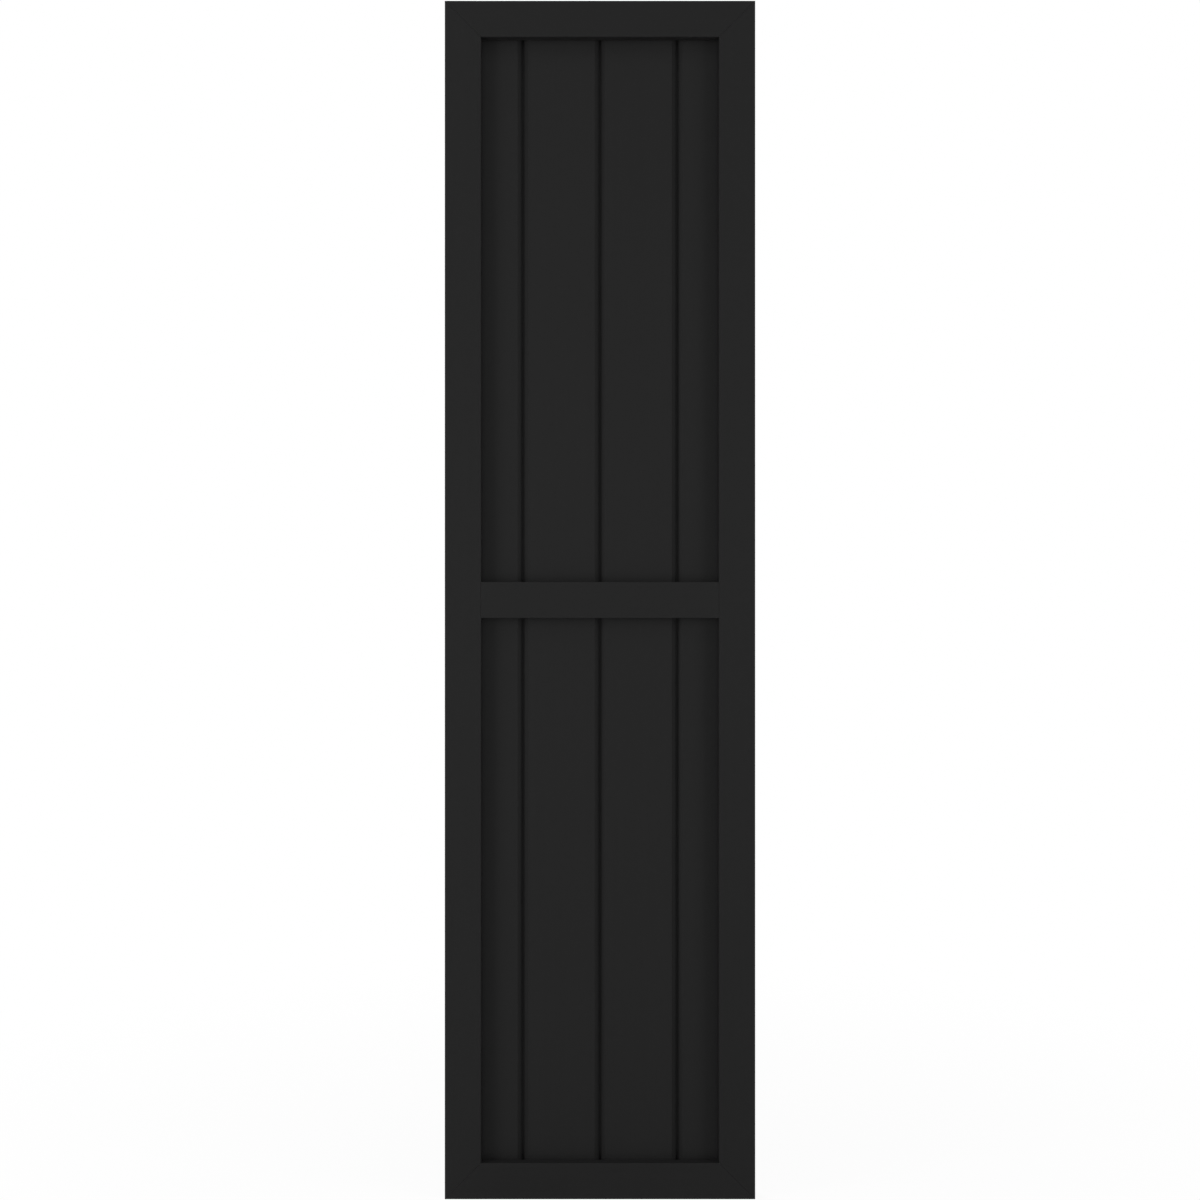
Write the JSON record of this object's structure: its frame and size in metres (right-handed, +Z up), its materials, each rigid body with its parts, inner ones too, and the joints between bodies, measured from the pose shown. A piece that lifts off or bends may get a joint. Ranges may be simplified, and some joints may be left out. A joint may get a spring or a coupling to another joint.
{
  "type": "framed board and batten shutter",
  "caption": "Tall fixed shutter of upright tongue-and-groove boards behind a flat mitred frame and a middle rail, in satin black.",
  "frame": {"origin": "centre of the flat back face, which lies on the wall", "axes": "+Z up along the boards, +Y through the back into the wall, so the face looks along -Y; +X to the right as seen from the front"},
  "size_m": [0.5462, 0.0381, 2.1082],
  "materials": {
    "board_black": "satin",
    "frame_black": "satin",
    "screw_steel": "satin"
  },
  "bodies": {
    "root": {"board_1": "board_black", "board_2": "board_black", "board_3": "board_black", "board_4": "board_black", "left_stile": "frame_black", "right_stile": "frame_black", "top_rail": "frame_black", "bottom_rail": "frame_black", "mid_rail": "frame_black"}
  },
  "joints": []
}
